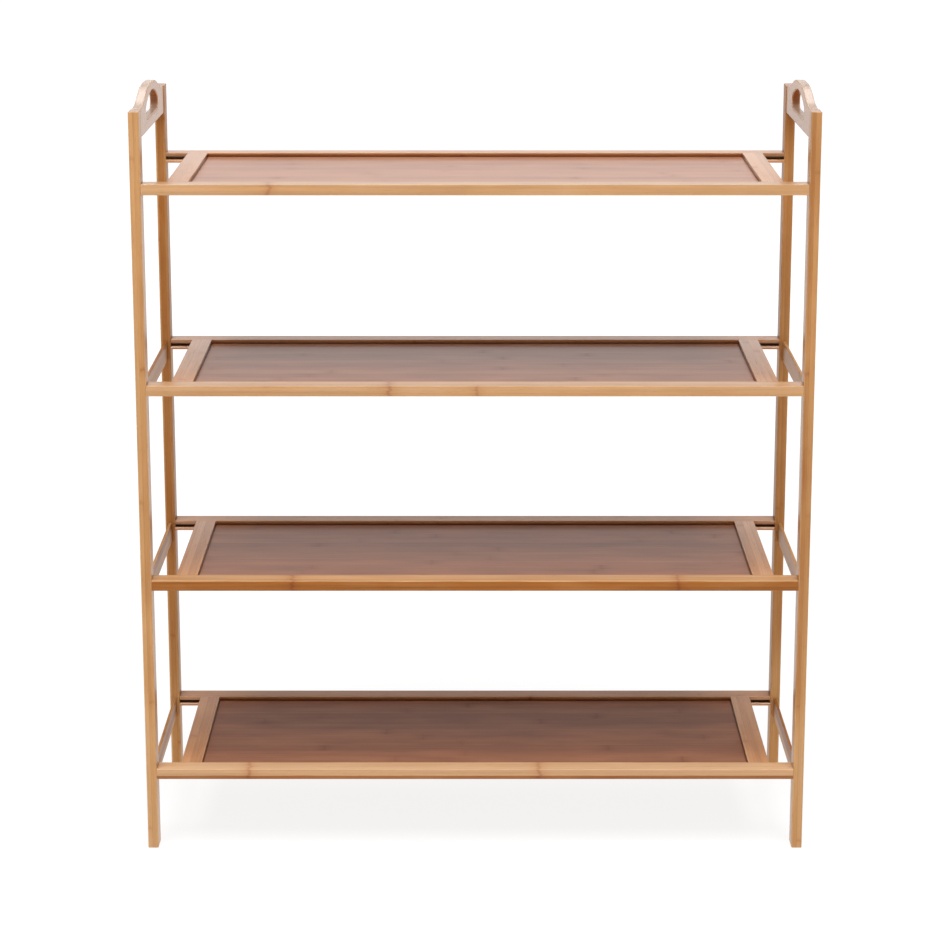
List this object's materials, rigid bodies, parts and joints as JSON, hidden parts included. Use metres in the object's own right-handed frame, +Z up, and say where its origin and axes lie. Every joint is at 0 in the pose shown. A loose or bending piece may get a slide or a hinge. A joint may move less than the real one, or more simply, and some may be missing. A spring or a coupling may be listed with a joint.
{
  "type": "tiered shoe rack",
  "caption": "Open bamboo shoe rack with framed panel shelves between two side frames, each with slatted sides and a handle board with an arched grip.",
  "frame": {"origin": "on the floor, under the middle of the rack", "axes": "+Z up, +X to the right seen from the front, -Y out of the front"},
  "size_m": [0.7004, 0.26, 0.806],
  "materials": {
    "bamboo_frame": "satin clear lacquer on natural laminated bamboo",
    "bamboo_panel": "satin lacquer on brown carbonised bamboo",
    "dowel_wood": "bare turned hardwood",
    "black_steel": "black oxide steel"
  },
  "bodies": {
    "root": {"front_left_leg": "bamboo_frame", "rear_left_leg": "bamboo_frame", "front_right_leg": "bamboo_frame", "rear_right_leg": "bamboo_frame", "left_handle_board": "bamboo_frame", "right_handle_board": "bamboo_frame", "left_handle_dowels": "dowel_wood", "right_handle_dowels": "dowel_wood", "tier_1_front_rail": "bamboo_frame", "tier_1_rear_rail": "bamboo_frame", "tier_1_left_stile": "bamboo_frame", "tier_1_right_stile": "bamboo_frame", "tier_1_panel": "bamboo_panel", "tier_1_screws": "black_steel", "tier_2_front_rail": "bamboo_frame", "tier_2_rear_rail": "bamboo_frame", "tier_2_left_stile": "bamboo_frame", "tier_2_right_stile": "bamboo_frame", "tier_2_panel": "bamboo_panel", "tier_2_screws": "black_steel", "tier_3_front_rail": "bamboo_frame", "tier_3_rear_rail": "bamboo_frame", "tier_3_left_stile": "bamboo_frame", "tier_3_right_stile": "bamboo_frame", "tier_3_panel": "bamboo_panel", "tier_3_screws": "black_steel", "tier_4_front_rail": "bamboo_frame", "tier_4_rear_rail": "bamboo_frame", "tier_4_left_stile": "bamboo_frame", "tier_4_right_stile": "bamboo_frame", "tier_4_panel": "bamboo_panel", "tier_4_screws": "black_steel", "tier_1_left_slat": "bamboo_frame", "tier_1_right_slat": "bamboo_frame", "tier_2_left_slat": "bamboo_frame", "tier_2_right_slat": "bamboo_frame", "tier_3_left_slat": "bamboo_frame", "tier_3_right_slat": "bamboo_frame"}
  },
  "joints": []
}
